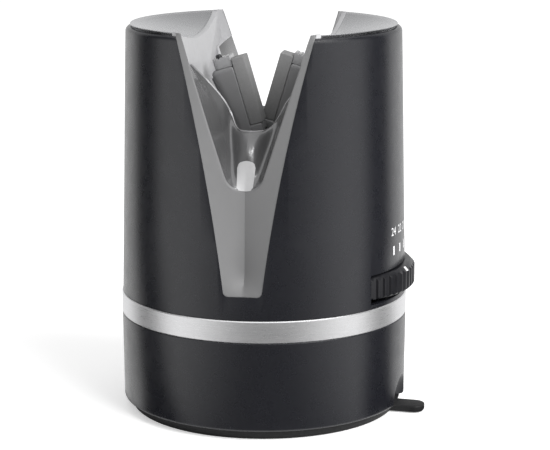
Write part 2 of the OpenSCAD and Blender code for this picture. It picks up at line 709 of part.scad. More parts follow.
module shoe_shape() {
    difference() {
        translate([0, 0, -tail_l]) pin_y(shoe_r, tail_y, tail_y + tail_t);
        translate([-shoe_r / 2, tail_y + tail_t / 4, -tail_l - shoe_r / 2]) cube([shoe_r, tail_t / 2, 3 * shoe_r]);
        translate([-tail_w, tail_y - over, -tail_l + shoe_r]) cube([2 * tail_w, tail_t + 2 * over, shoe_r]);
    }
}
module right_arm() { color("#4b4d50") at_arm() arm_shape(); }
module right_stone() { color("#77797b") at_arm() stone_shape(); }
module right_stone_cap() { color("#9b9da0") at_arm() stone_cap_shape(); }
module right_cap_pin() { color("#333436") at_arm() cap_pin_shape(); }
module right_shoe() { color("#d9d9d6") at_arm() shoe_shape(); }
module left_arm() { color("#4b4d50") rotate([0, 0, 180]) at_arm() arm_shape(); }
module left_stone() { color("#77797b") rotate([0, 0, 180]) at_arm() stone_shape(); }
module left_stone_cap() { color("#9b9da0") rotate([0, 0, 180]) at_arm() stone_cap_shape(); }
module left_cap_pin() { color("#333436") rotate([0, 0, 180]) at_arm() cap_pin_shape(); }
module left_shoe() { color("#d9d9d6") rotate([0, 0, 180]) at_arm() shoe_shape(); }

// Torsion spring on the pivot pin, one for each arm
wire_r = 0.45;
coil_r = 3.3;
coil_turns = 4;
coil_rings = 8;
coil_sides = 6;
coil_low = tail_y + tail_t + play + wire_r;
coil_high = cheek_y - seam - wire_r;
function coil_point(i) = let (a = 360 * i / coil_rings, y = coil_low + (coil_high - coil_low) * i / (coil_turns * coil_rings))
    [coil_r * cos(a), y, coil_r * sin(a)];
function coil_out(i) = let (a = 360 * i / coil_rings) [cos(a), 0, sin(a)];
module spring_shape() {
    count = coil_turns * coil_rings;
    points = [for (i = [0:count], k = [0:coil_sides - 1]) let (b = 360 * k / coil_sides)
        coil_point(i) + wire_r * (cos(b) * coil_out(i) + [0, sin(b), 0])];
    sides = [for (i = [0:count - 1], k = [0:coil_sides - 1])
        let (a = i * coil_sides + k, b = i * coil_sides + (k + 1) % coil_sides)
        each [[a, b + coil_sides, b], [a, a + coil_sides, b + coil_sides]]];
    polyhedron(points = points, faces = concat(sides, [[for (k = [0:coil_sides - 1]) k]],
        [[for (k = [coil_sides - 1:-1:0]) count * coil_sides + k]]));
}
module right_spring() { color("#b0b2b4") translate([0, 0, pivot_z]) spring_shape(); }
module left_spring() { color("#b0b2b4") rotate([0, 0, 180]) translate([0, 0, pivot_z]) spring_shape(); }

// Lifter whose two ramps spread the tails of the arms
ramp_y = 0.7;
module lifter_ramp() {
    tip = wedge_tip(arm_angle);
    slope = tan(wedge_angle);
    low = lift_z + lift_plate_t - over;
    ramp_top = tip + 1.6;
    back = -3;
    translate([0, -ramp_y - tail_t / 2, 0]) along_y(tail_t)
        polygon([[back, low], [(tip - low) * slope, low], [(tip - ramp_top) * slope, ramp_top], [back, ramp_top]]);
}
module lifter() {
    plate_y = cheek_y - 2 * play;
    plate_x = 7.5;
    color("#d8d9d6") difference() {
        union() {
            translate([-plate_x, -plate_y, lift_z]) cube([2 * plate_x, 2 * plate_y, lift_plate_t]);
            for (a = [0, 180]) rotate([0, 0, a]) lifter_ramp();
            translate([wheel_off - cam_mid, 0, 0]) {
                translate([0, 0, lift_z - 3]) cylinder(h = 3 + over, r = foot_r);
                translate([0, 0, lift_z - 3]) sphere(r = foot_r);
            }
        }
        ring_at(rod_y, [90, 270]) translate([0, 0, lift_z - over])
            cylinder(h = lift_plate_t + 2 * over, r = rod_r + run_fit);
    }
}
module guide_rods() {
    color("#b9bbbd") ring_at(rod_y, [90, 270]) translate([0, 0, frame_z]) cylinder(h = rod_top - frame_z, r = rod_r);
}

// Thumbwheel, with its ribs, its cam and a hub on the axle
module rib_outline() {
    pitch = 360 / wheel_ribs;
    polygon([for (i = [0:wheel_ribs - 1], s = [[0, 0], [0.3, 0], [0.45, 1], [0.85, 1]])
        let (a = (i + s[0]) * pitch, r = wheel_r - s[1] * rib_depth) [r * cos(a), r * sin(a)]]);
}
module cam_ramp(low) {
    a0 = 180 - arm_turn_high() - cam_extra;
    a1 = 180 - arm_turn_low() + cam_extra;
    levels = [for (i = [0:cam_steps]) let (a = a0 + (a1 - a0) * i / cam_steps, h = cam_rest_z + cam_pitch * (a - 180))
        [[cam_in * cos(a), cam_in * sin(a), low], [cam_out * cos(a), cam_out * sin(a), low],
            [cam_out * cos(a), cam_out * sin(a), h], [cam_in * cos(a), cam_in * sin(a), h]]];
    sides = [for (i = [0:cam_steps - 1], j = [0:3]) let (p = 4 * i + j, q = 4 * i + (j + 1) % 4)
        each [[p, q + 4, q], [p, p + 4, q + 4]]];
    last = 4 * cam_steps;
    polyhedron(points = [for (l = levels) each l],
        faces = concat([for (f = sides) [f[2], f[1], f[0]]], [[3, 2, 1, 0]], [[last, last + 1, last + 2, last + 3]]));
}
function arm_turn_high() = wheel_turn / 2 - rest_turn;
function arm_turn_low() = -wheel_turn / 2 - rest_turn;
click_r = 20;
module thumbwheel() {
    web_z = wheel_z + 1.4;
    color("#2f3033") translate([wheel_off, 0, 0]) difference() {
        union() {
            difference() {
                intersection() {
                    translate([0, 0, wheel_z]) linear_extrude(height = wheel_h) rib_outline();
                    union() {
                        translate([0, 0, wheel_z + wheel_h - wheel_chamfer])
                            cylinder(h = wheel_chamfer, r1 = wheel_r, r2 = wheel_r - wheel_chamfer);
                        translate([0, 0, wheel_z]) cylinder(h = wheel_chamfer / 2, r1 = wheel_r - wheel_chamfer / 2, r2 = wheel_r);
                        translate([0, 0, wheel_z + wheel_chamfer / 2]) cylinder(h = wheel_h - 1.5 * wheel_chamfer, r = wheel_r);
                    }
                }
                translate([0, 0, web_z + web_t]) cylinder(h = wheel_h, r = wheel_r - rim_t);
                translate([0, 0, -over]) cylinder(h = web_z + over, r = wheel_r - rim_t);
            }
            translate([0, 0, wheel_z]) cylinder(h = frame_z - play - wheel_z, r = wheel_hub_r);
            cam_ramp(web_z + web_t / 2);
        }
        translate([0, 0, wheel_z - over]) cylinder(h = 2 * wheel_h, r = axle_r + run_fit);
        for (i = [0:mark_count - 1]) rotate([0, 0, 180 + i * mark_step - (mark_count - 1 - rest_mark) * mark_step])
            translate([click_r, 0, web_z]) sphere(r = web_t / 2, $fn = 32);
        pointer_bar();
    }
}
pointer_w = 1.3;
module pointer_bar() {
    floor_h = 0.9 * wheel_chamfer;
    rotate([0, 0, rest_turn]) translate([wheel_r - floor_h, -pointer_w / 2, wheel_top - floor_h])
        cube([2 * pointer_w, pointer_w, 2 * wheel_chamfer]);
}
module wheel_pointer() {
    floor_h = 0.9 * wheel_chamfer;
    slant = 2 * floor_h - wheel_chamfer;
    color("#f2f2f2") translate([wheel_off, 0, 0]) rotate([0, 0, rest_turn])
        translate([wheel_r - floor_h, 0, wheel_top - floor_h]) along_y(pointer_w)
            polygon([[0, 0], [slant, 0], [0, slant]]);
}
axle_end = 1.4;
module wheel_axle() {
    color("#b9bbbd") translate([wheel_off, 0, 0]) {
        translate([0, 0, deck_z]) cylinder(h = frame_top + axle_end - deck_z, r = axle_r);
        translate([0, 0, deck_z - axle_end]) cylinder(h = axle_end - seam, r = wheel_hub_r - over);
        translate([0, 0, deck_z - axle_end / 2]) cylinder(h = axle_end, r = axle_r);
    }
}
module axle_clip() {
    color("#777a7c") translate([wheel_off, 0, frame_top + seam]) tube(axle_r, axle_r + 1.4, axle_end / 2);
}

// Leaf that clicks into the dimples under the wheel
leaf_w = 5;
leaf_t = 0.5;
module click_spring() {
    web_z = wheel_z + 1.4;
    tip_x = wheel_off - click_r;
    bump_r = 1.5;
    leaf_z = deck_top + 1.6;
    low_l = 5;
    leaf_l = 8;
    color("#b9bbbd") {
        translate([tip_x - leaf_l, -leaf_w / 2, leaf_z]) cube([leaf_l + bump_r, leaf_w, leaf_t]);
        translate([tip_x - leaf_l, -leaf_w / 2, deck_top]) cube([leaf_t, leaf_w, leaf_z - deck_top + leaf_t]);
        translate([tip_x - leaf_l - low_l, -leaf_w / 2, deck_top]) cube([low_l + leaf_t, leaf_w, leaf_t]);
        translate([tip_x, 0, leaf_z + leaf_t / 2]) cylinder(h = web_z - play - bump_r - leaf_z - leaf_t / 2, r = bump_r);
        translate([tip_x, 0, web_z - play - bump_r]) sphere(r = bump_r, $fn = 32);
    }
}

suction_pad();
pad_washer();
pad_screw();
base_shell();
base_screws();
trim_band();
deck_plate();
outer_shell();
shell_screws();
scale_marks();
left_top_cap();
right_top_cap();
blade_guide();
inner_frame();
frame_screws();
pivot_pin();
pivot_clip();
left_arm();
left_stone();
left_stone_cap();
left_cap_pin();
left_shoe();
left_spring();
right_arm();
right_stone();
right_stone_cap();
right_cap_pin();
right_shoe();
right_spring();
lifter();
guide_rods();
thumbwheel();
wheel_pointer();
wheel_axle();
axle_clip();
click_spring();
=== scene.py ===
import math

import bpy
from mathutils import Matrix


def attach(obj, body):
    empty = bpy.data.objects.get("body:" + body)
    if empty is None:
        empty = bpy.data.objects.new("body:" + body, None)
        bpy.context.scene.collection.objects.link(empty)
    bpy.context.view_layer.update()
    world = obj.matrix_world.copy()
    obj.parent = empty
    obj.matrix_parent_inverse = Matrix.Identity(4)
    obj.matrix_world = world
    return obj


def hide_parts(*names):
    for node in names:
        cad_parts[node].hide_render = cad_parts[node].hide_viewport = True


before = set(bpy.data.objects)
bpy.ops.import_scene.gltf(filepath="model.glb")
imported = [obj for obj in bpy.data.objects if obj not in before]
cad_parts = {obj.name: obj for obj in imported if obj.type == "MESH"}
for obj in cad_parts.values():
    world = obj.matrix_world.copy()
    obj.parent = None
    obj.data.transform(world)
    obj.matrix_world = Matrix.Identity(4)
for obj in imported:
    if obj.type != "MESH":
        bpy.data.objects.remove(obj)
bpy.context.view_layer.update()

# Camera on a table-top tripod, a little above the rim and a little to the right.
# The lens and the place are worked out from the outline of the body.
scene = bpy.context.scene
mm = 0.001
camera_place = (79.0, -531.6, 165.66)
camera_down = 11.95
camera_turn = 8.12
camera_data = bpy.data.cameras.new("tabletop_camera")
camera_data.lens = 124.95
camera_data.sensor_width = 36.0
camera_data.clip_start = 0.01
camera = bpy.data.objects.new("tabletop_camera", camera_data)
scene.collection.objects.link(camera)
camera.location = [mm * c for c in camera_place]
camera.rotation_euler = (math.radians(90 - camera_down), 0, math.radians(camera_turn))
scene.camera = camera


# Rubber pad under the base, moulded in one with the pull tab that lets the
# air in. It flares a little towards the base and is hollow underneath.
class Sock:
    """An output of a shader node. Arithmetic on it adds Math nodes."""

    def __init__(self, tree, socket):
        self.tree = tree
        self.socket = socket

    def math(self, operation, other=None):
        values = {0: self} if other is None else {0: self, 1: other}
        return add_node(self.tree, "Math", values, {"operation": operation})

    def __add__(self, other):
        return self.math("ADD", other)

    def __radd__(self, other):
        return self.math("ADD", other)

    def __sub__(self, other):
        return self.math("SUBTRACT", other)

    def __rsub__(self, other):
        return (self * -1.0) + other

    def __mul__(self, other):
        return self.math("MULTIPLY", other)

    def __rmul__(self, other):
        return self.math("MULTIPLY", other)

    def __rtruediv__(self, other):
        return self.math("POWER", -1.0) * other


def plug(tree, target, value):
    """Links a socket to an input, or sets the input to a plain value."""
    if isinstance(value, Sock):
        tree.links.new(value.socket, target)
    else:
        target.default_value = value


def add_node(tree, kind, sockets=None, settings=None, output=0):
    """Adds a shader node: its settings first, then its inputs. Gives one of its outputs."""
    made = tree.nodes.new("ShaderNode" + kind)
    for key, value in (settings or {}).items():
        setattr(made, key, value)
    for key, value in (sockets or {}).items():
        plug(tree, made.inputs[key], value)
    return Sock(tree, made.outputs[output])


class Finish:
    """A material, with the patterns that its colour, gloss and grain follow."""

    def __init__(self, name, color, roughness, metallic=0.0, **constants):
        self.material = bpy.data.materials.new(name)
        self.material.use_nodes = True
        self.material.diffuse_color = (*color, 1)
        self.tree = self.material.node_tree
        self.shader = self.tree.nodes["Principled BSDF"]
        self.set("Base Color", (*color, 1))
        self.set("Roughness", roughness)
        self.set("Metallic", metallic)
        for key, value in constants.items():
            self.set(key.replace("_", " "), value)

    def set(self, key, value):
        plug(self.tree, self.shader.inputs[key], value)

    def noise(self, size, detail=3.0, roughness=0.55, stretch=(1, 1, 1)):
        """Cloudy pattern with spots of about the given size in mm."""
        point = add_node(self.tree, "TexCoord", output="Object")
        scale = tuple(s / (size * mm) for s in stretch)
        place = add_node(self.tree, "Mapping", {"Vector": point, "Scale": scale})
        return add_node(self.tree, "TexNoise", {
            "Vector": place, "Scale": 1.0, "Detail": detail, "Roughness": roughness})

    def band(self, value, low, high, to_low, to_high):
        """Carries the values between low and high over to another range."""
        return add_node(self.tree, "MapRange", {
            "Value": value, "From Min": low, "From Max": high, "To Min": to_low, "To Max": to_high})

    def blend(self, factor, first, second):
        """Mixes two colours, which a Mix node takes at inputs 6 and 7 and gives at output 2."""
        colors = {0: factor, 6: (*first, 1), 7: (*second, 1)}
        return add_node(self.tree, "Mix", colors, {"data_type": "RGBA"}, 2)

    def tint(self, pattern, first, second):
        """Lets the colour drift between two tones."""
        self.set("Base Color", self.blend(pattern, first, second))

    def gloss(self, pattern, low, high):
        """Lets the roughness drift between two values. A noise keeps mostly between 0.3 and 0.7."""
        self.set("Roughness", self.band(pattern, 0.3, 0.7, low, high))

    def bump(self, pattern, depth):
        """Fine relief, with its depth in mm."""
        relief = {"Distance": depth * mm, "Strength": 1.0, "Height": pattern}
        self.set("Normal", add_node(self.tree, "Bump", relief))


def clear():
    bpy.ops.object.select_all(action="DESELECT")


def pick(obj):
    clear()
    obj.select_set(True)
    bpy.context.view_layer.objects.active = obj


def edit(obj):
    pick(obj)
    bpy.ops.object.mode_set(mode="EDIT")
    bpy.ops.mesh.select_mode(type="VERT")
    bpy.ops.mesh.select_all(action="SELECT")


def leave():
    bpy.ops.object.mode_set(mode="OBJECT")
    clear()


def face_out():
    """In edit mode: turns every face outwards."""
    bpy.ops.mesh.select_all(action="SELECT")
    bpy.ops.mesh.normals_make_consistent(inside=False)


def modify(obj, kind, **settings):
    """Gives a piece a modifier and applies it."""
    pick(obj)
    modifier = obj.modifiers.new(kind.lower(), kind)
    for key, value in settings.items():
        setattr(modifier, key, value)
    bpy.ops.object.modifier_apply(modifier=modifier.name)


def loop(name, points):
    """Closed outline through points, which are in mm as all lengths are."""
    clear()
    bpy.ops.mesh.primitive_circle_add(vertices=len(points), radius=1, fill_type="NOTHING")
    obj = bpy.context.object
    obj.name = name
    for vertex, point in zip(obj.data.vertices, points):
        vertex.co = [mm * c for c in point]
    return obj


def turned(name, outline, steps=240, center=(0, 0, 0)):
    """Spins an outline of radius and height round an upright axis."""
    obj = loop(name, [(center[0] + r, center[1], center[2] + z) for r, z in outline])
    edit(obj)
    bpy.ops.mesh.spin(steps=steps, angle=2 * math.pi, center=[mm * c for c in center], axis=(0, 0, 1))
    bpy.ops.mesh.select_all(action="SELECT")
    bpy.ops.mesh.remove_doubles(threshold=0.0005 * mm)
    bpy.ops.mesh.delete_loose()
    face_out()
    leave()
    return obj


def drawn(name, points, way):
    """Fills a flat outline and draws it out along a way."""
    obj = loop(name, points)
    edit(obj)
    bpy.ops.mesh.edge_face_add()
    bpy.ops.mesh.extrude_region_move(TRANSFORM_OT_translate={"value": [mm * c for c in way]})
    face_out()
    leave()
    return obj


def through_z(name, outline, z0, z1):
    return drawn(name, [(x, y, z0) for x, y in outline], (0, 0, z1 - z0))


def combine(obj, tool, operation="DIFFERENCE"):
    """Cuts a tool out of a piece, joins it on or keeps what both share. The tool is used up."""
    modify(obj, "BOOLEAN", operation=operation, solver="EXACT", object=tool)
    bpy.data.objects.remove(tool)


def soften(obj, width, angle=35, segments=2):
    """Rounds the edges that are sharper than an angle."""
    modify(obj, "BEVEL", width=width * mm, segments=segments, limit_method="ANGLE",
           angle_limit=math.radians(angle))


def smooth(obj, angle=30):
    pick(obj)
    bpy.ops.object.shade_smooth_by_angle(angle=math.radians(angle))
    clear()


def stand(obj, place=(0, 0, 0), lean=0.0, turn=0.0):
    """Leans a piece about Y, moves it to its place, turns it about Z and works all that into its mesh."""
    pick(obj)
    obj.location = [mm * c for c in place]
    obj.rotation_euler = (0, math.radians(lean), 0)
    bpy.ops.object.transform_apply()
    obj.rotation_euler = (0, 0, math.radians(turn))
    bpy.ops.object.transform_apply()


def arc(center, radius, start, end, steps):
    turn = [math.radians(start + (end - start) * i / steps) for i in range(steps + 1)]
    return [(center[0] + radius * math.cos(a), center[1] + radius * math.sin(a)) for a in turn]


def coat(obj, finish):
    obj.data.materials.clear()
    obj.data.materials.append(finish.material)


def dress(obj, finish, body, *nodes, slot=None):
    """Gives a piece its finish, the body it rides and the nodes it replaces. Its slot is not used."""
    coat(obj, finish)
    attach(obj, body)
    if nodes:
        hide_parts(*nodes)


rubber = Finish("black_rubber", (0.011, 0.011, 0.012), 0.62, Specular_IOR_Level=0.3)
grain = rubber.noise(0.35, detail=4)
rubber.tint(rubber.noise(9), (0.009, 0.009, 0.01), (0.015, 0.015, 0.016))
rubber.gloss(grain, 0.5, 0.72)
rubber.bump(grain, 0.03)
pad_h = 2.7
pad_top = 5.05
pad_r = 38.2
pad_flare = 1.25
pad_hollow = 1.2
screw_r = 1.3
pad = turned("suction_pad_moulding", [
    (screw_r, pad_hollow), (31.0, pad_hollow), (31.4, 0.3), (32.0, 0), (pad_r - 0.4, 0), (pad_r, 0.3),
    (pad_r + pad_flare, 2.55), (pad_r, 2.62), (pad_r, pad_top), (screw_r, pad_top)])
tab_root = 36.4
tab_reach = 47.5
tab_w = 7.0
tab_corner = 3
tab_turn = -7.0
tab_side = tab_w / 2 - tab_corner
tab_outline = ([(tab_root, -tab_w / 2)]
               + arc((tab_reach - tab_corner, -tab_side), tab_corner, -90, 0, 12)
               + arc((tab_reach - tab_corner, tab_side), tab_corner, 0, 90, 12)
               + [(tab_root, tab_w / 2)])
tab = through_z("pull_tab", tab_outline, 0.3, 2.2)
soften(tab, 0.45, 50, 4)
stand(tab, turn=tab_turn)
combine(pad, tab, "UNION")
soften(pad, 0.12, 55)
smooth(pad, 40)
dress(pad, rubber, "housing", "suction_pad", slot="rubber")


# Lower housing, moulded and sprayed satin charcoal like the shell above it.
# A finger scoop in its lower edge leaves room to lift the tab.
def ball(radius, place, segments):
    clear()
    bpy.ops.mesh.primitive_uv_sphere_add(segments=segments, ring_count=segments // 2, radius=radius * mm,
                                         location=[mm * c for c in place])
    bpy.ops.object.transform_apply()
    return bpy.context.object


satin = Finish("satin_charcoal_paint", (0.0105, 0.011, 0.0145), 0.28, Specular_IOR_Level=0.65)
satin.tint(satin.noise(14, detail=4), (0.009, 0.0095, 0.013), (0.012, 0.0125, 0.0165))
satin.gloss(satin.noise(4), 0.25, 0.31)
satin.bump(satin.noise(0.22, detail=2), 0.004)
base_top = 27.8
base_r = 40.95
base_in = 38.2
base_floor = (5.2, 7.7)
foot_r = 40.7
foot_edge = 0.8
foot_in = foot_r - 2.2
rim_edge = 0.25
base = turned("base_housing", [(foot_in, pad_h)]
              + arc((foot_r - foot_edge, pad_h + foot_edge), foot_edge, -90, 0, 10)
              + [(base_r, base_top - rim_edge), (base_r - rim_edge, base_top), (base_in, base_top),
                 (base_in, base_floor[1]), (screw_r, base_floor[1]), (screw_r, base_floor[0]),
                 (foot_in, base_floor[0])])
scoop = ball(9.0, (45.6, 0, pad_h), 96)
stand(scoop, turn=tab_turn)
combine(base, scoop)
smooth(base)
dress(base, satin, "housing", "base_shell", slot="shell")

# Brushed steel band, rolled to a ring and pressed over the joint between the
# housings. The brushing runs round the body.
brushed = Finish("brushed_steel_band", (0.85, 0.85, 0.86), 0.3, metallic=0.85, Anisotropic=0.4)
lines = brushed.noise(3.5, detail=5, roughness=0.7, stretch=(1, 1, 40))
fine = brushed.noise(9, detail=3, stretch=(1, 1, 160))
brushed.tint(fine, (0.68, 0.68, 0.69), (0.95, 0.95, 0.96))
brushed.gloss(lines, 0.24, 0.4)
brushed.bump(lines * 0.6 + fine * 0.4, 0.02)
band_r = 41.0
band_in = band_r - 1.2
band_low = base_top
band_h = 6.1
band_top = band_low + band_h
band = turned("steel_band", [
    (band_in, band_low), (band_r - rim_edge, band_low), (band_r, band_low + rim_edge),
    (band_r, band_top - rim_edge), (band_r - rim_edge, band_top), (band_in, band_top)])
smooth(band)
dress(band, brushed, "housing", "trim_band", slot="band")


# Upper shell, moulded and sprayed. The V is cut through front and back, its
# sides bow inwards a little, and a window at the right lets the wheel out.
def through_y(name, outline, y0, y1):
    return drawn(name, [(x, y0, z) for x, z in outline], (0, y1 - y0, 0))


def oblong(x0, x1, y0, y1):
    return [(x0, y0), (x1, y0), (x1, y1), (x0, y1)]


def both_sides(side):
    """Outline from its right side and the mirror image of that."""
    return side + [(-x, z) for x, z in reversed(side)]


past_body = 60.0
total_h = 110.5
rim_r = 38.9
shell_z = 33.9
shell_r0 = 40.7
shell_wall = 2.2
shell_edge = 0.2
shell_rings = (55.0, 80.0, 100.0)
taper = (shell_r0 - rim_r) / (total_h - shell_z)
cap_lip = 0.35
groove_h = 0.6
shell_top = total_h - cap_lip - groove_h
top_edge = 1.3
cut_z = 40.4
cut_low = 5.15
cut_top = 18.6
cut_bow = 1.2
cut_end = total_h - 1
cut_corner = 1.5
wheel_off = 14.5
wheel_r = 28.9
wheel_room = 0.3
window_low = shell_z + 1.2
window_high = 43.4
window_in = 25.0
window_slope = math.tan(math.radians(35.2))


def shell_r(z):
    return shell_r0 - taper * (z - shell_z)


def cut_w(z):
    """Half the width of the V cut at a height."""
    share = (z - cut_z) / (cut_end - cut_z)
    return cut_low + (cut_top - cut_low) * share - 4 * cut_bow * share * (1 - share)


def cut_outline(steps=40):
    top = total_h + 3
    side = [(cut_w(cut_z + cut_corner) - cut_corner + x, cut_z + cut_corner + z)
            for x, z in arc((0, 0), cut_corner, -90, 0, 8)]
    for i in range(1, steps + 1):
        z = cut_z + cut_corner + (top - cut_z - cut_corner) * i / steps
        side.append((cut_w(z), z))
    return both_sides(side)


top_r = shell_r(shell_top)
shell = turned("upper_shell", [(shell_r0 - shell_wall, shell_z), (shell_r0 - shell_edge, shell_z),
                               (shell_r0, shell_z + shell_edge)]
               + [(shell_r(z), z) for z in shell_rings]
               + arc((top_r - top_edge, shell_top - top_edge), top_edge, 0, 90, 6)
               + [(top_r - shell_wall, shell_top)])
combine(shell, through_y("v_cut", cut_outline(), -past_body, past_body))
window = [(window_in, -window_in * window_slope), (past_body, -past_body * window_slope),
          (past_body, past_body * window_slope), (window_in, window_in * window_slope)]
combine(shell, through_z("wheel_window", window, window_low, window_high))
combine(shell, turned("wheel_relief", oblong(0, wheel_r + wheel_room, window_low, window_high),
                      center=(wheel_off, 0, 0)))
soften(shell, 0.18, 40)
smooth(shell)
dress(shell, satin, "housing", "outer_shell", slot="shell")

# Printed scale: six white marks that are let into the shell over the window,
# with the angle printed over each.
white_ink = Finish("white_print", (0.86, 0.86, 0.87), 0.5)
white_ink.tint(white_ink.noise(0.6), (0.8, 0.8, 0.81), (0.9, 0.9, 0.91))
white_ink.bump(white_ink.noise(0.15), 0.004)
labels = ("24", "22", "20", "18", "16", "14")
scale_turn = 54.4
mark_z = 47.1
mark_h = 2.5
mark_w = 0.95
digit_z = 52.7
digit_h = 2.3
digit_share = 0.7
print_lift = 0.03


def mark_azimuth(number):
    """Azimuth round the body where a mark of the wheel's own circle meets the shell."""
    turn = math.radians(-scale_turn / 2 + number * (scale_turn / (len(labels) - 1)))
    across = wheel_off * math.sin(turn)
    reach = -wheel_off * math.cos(turn) + math.sqrt(shell_r(mark_z) ** 2 - across ** 2)
    return math.atan2(reach * math.sin(turn), wheel_off + reach * math.cos(turn))


def wrap_on_shell(obj, azimuth, z0):
    """Bends a flat print, drawn in XY in metres, round the shell."""
    for vertex in obj.data.vertices:
        across, up = vertex.co.x, vertex.co.y
        z = z0 * mm + up
        radius = (shell_r(z / mm) + print_lift) * mm + vertex.co.z
        a = azimuth + across / radius
        vertex.co = (radius * math.cos(a), radius * math.sin(a), z)


for number, label in enumerate(labels):
    words = bpy.data.curves.new("number_" + label, "FONT")
    words.body = label
    words.size = digit_h * mm / digit_share
    words.align_x = "CENTER"
    words.resolution_u = 4
    digits = bpy.data.objects.new("number_" + label, words)
    scene.collection.objects.link(digits)
    pick(digits)
    bpy.ops.object.convert(target="MESH")
    digits = bpy.context.object
    wrap_on_shell(digits, mark_azimuth(number), digit_z)
    dress(digits, white_ink, "housing", slot="white")
    clear()
    bpy.ops.mesh.primitive_grid_add(x_subdivisions=4, y_subdivisions=8, size=1)
    mark = bpy.context.object
    mark.name = "mark_" + label
    for vertex in mark.data.vertices:
        vertex.co.x *= mark_w * mm
        vertex.co.y *= mark_h * mm
    wrap_on_shell(mark, mark_azimuth(number), mark_z + mark_h / 2)
    dress(mark, white_ink, "housing", slot="white")

# Top caps, spun from aluminium and dished, one at either side of the V. A dark
# groove parts each cap from the shell below it.
satin_metal = Finish("satin_silver_cap", (0.54, 0.545, 0.56), 0.27, metallic=0.9)
satin_metal.tint(satin_metal.noise(12), (0.51, 0.515, 0.53), (0.57, 0.575, 0.59))
satin_metal.gloss(satin_metal.noise(0.5), 0.24, 0.3)
satin_metal.bump(satin_metal.noise(0.2), 0.003)
dish_r = 134.0
dish_z = total_h - dish_r + math.sqrt(dish_r ** 2 - (rim_r - 1) ** 2)
dish_steps = 24
cap_r = rim_r - 1.2
cap_under_r = rim_r - (shell_wall + 0.15)
cap_seat_z = total_h - 4.2
cap_edge = 0.15
groove_r = cap_r - 1.0
groove_z = shell_top - 0.6
wall_t = 1.3
cap_play = 0.06
half_low = 95
half_high = 115


def dish_h(radius):
    return dish_z + dish_r - math.sqrt(dish_r ** 2 - radius ** 2)


def bay_w(z):
    """Half the width of the bay between the guide's walls, which the caps end against."""
    return 18.8 - 0.15 * (total_h - z)


dish = [(cap_r - 0.4) * i / dish_steps for i in reversed(range(dish_steps))]
for hand, side in (("right", 1), ("left", -1)):
    cap = turned(hand + "_cap", [
        (0, cap_seat_z - 2), (cap_under_r, cap_seat_z), (cap_under_r, groove_z), (groove_r, groove_z),
        (groove_r, total_h - cap_lip), (cap_r - 0.1, total_h - cap_lip)]
        + arc((cap_r - 0.2, total_h - 0.25), cap_edge, 0, 90, 6)
        + [(radius, dish_h(radius)) for radius in dish], steps=288)
    foot_x, head_x = (side * (bay_w(z) + wall_t + cap_play) for z in (half_low, half_high))
    half = [(foot_x, half_low), (side * past_body, half_low),
            (side * past_body, half_high), (head_x, half_high)]
    combine(cap, through_y("cap_half", half, -past_body, past_body), "INTERSECT")
    soften(cap, 0.1, 50)
    smooth(cap)
    dress(cap, satin_metal, "housing", hand + "_top_cap", slot="cap")

# Guide of satin metal, pressed from one sheet and clipped into the V at front
# and back. Its creased face fills the cut and rolls into a mouth, behind which a
# saddle rises to a crest and falls away into the bay. The saddle has a darker,
# glossier copy of the metal, which is painted shade for the depth of the mouth.
metal = Finish("satin_guide_metal", (0.185, 0.185, 0.187), 0.45, metallic=0.05, Specular_IOR_Level=0.25)
metal.tint(metal.noise(12), (0.177, 0.177, 0.179), (0.195, 0.195, 0.197))
metal.gloss(metal.noise(3), 0.39, 0.46)
metal.bump(metal.noise(0.25, detail=2), 0.001)
# Darker, glossier copy of the guide metal for the saddle: painted shade down in the mouth.
saddle_shade_metal = Finish("saddle_metal_painted_shade", (0.19, 0.19, 0.193), 0.2, metallic=0.6)
saddle_shade_metal.tint(saddle_shade_metal.noise(6), (0.175, 0.175, 0.178), (0.21, 0.21, 0.213))
saddle_shade_metal.gloss(saddle_shade_metal.noise(2), 0.17, 0.24)
saddle_shade_metal.bump(saddle_shade_metal.noise(1.5, detail=1), 0.002)
# Lighter copy of the guide metal for the bay, the back of the saddle, the web and the posts: painted light
# where the softbox falls on them.
bay_light_metal = Finish("bay_metal_painted_light", (0.47, 0.47, 0.48), 0.4, metallic=0.3)
bay_light_metal.tint(bay_light_metal.noise(10), (0.45, 0.45, 0.46), (0.5, 0.5, 0.51))
bay_light_metal.gloss(bay_light_metal.noise(2), 0.36, 0.45)
bay_light_metal.bump(bay_light_metal.noise(0.4, detail=2), 0.001)
sheet_t = 0.35
shoulder = 2.25
face_inset = 0.12
crease_depth = 36.0
crease_lean = 0.045
crease_lean_z = 50
crease_fade = 3.6
crease_fade_h = 8
mouth_r = 5.45
mouth_z = 68.4
mouth_mid = mouth_z + mouth_r
mouth_lean = math.radians(17.7)
bead = 0.45
bay_floor = 78.3
nose = (2.3, 1.8)
crest = [(0, -25.6, 83.0, 0.3), (2.4, -24.2, 83.0, 0.4), (4.8, -20.0, 83.7, 0.7),
         (6.7, -16.0, 86.2, 1.0), (8.4, -16.0, 89.5, 1.0), (11.1, -16.0, 93.0, 1.0),
         (14.2, -16.5, 96.4, 0.8), (17.0, -22.0, 100.7, 0.3)]
foot_rows = 4
crest_end = len(crest) - 1
rim_row = crest_end + 1
crest_end_z = 102.5
section_steps = 40
crest_step = section_steps * 3 // 5


def face_y(x, z):
    """Depth of the face: flush with the shell at the edge of the cut, creased inwards at its middle."""
    half = cut_w(z)
    edge_y = math.sqrt(shell_r(z) ** 2 - half ** 2) - face_inset
    fade = max(0.0, 1 - (z - cut_z) / crease_fade_h)
    crease_y = crease_depth + crease_fade * fade ** 2 - crease_lean * max(0.0, z - crease_lean_z)
    return -(crease_y + (edge_y - crease_y) * abs(x) / half)


def flank_x(z):
    """Half the width of the mouth above its round foot."""
    return (mouth_r + (z - mouth_mid) * math.sin(mouth_lean)) / math.cos(mouth_lean)


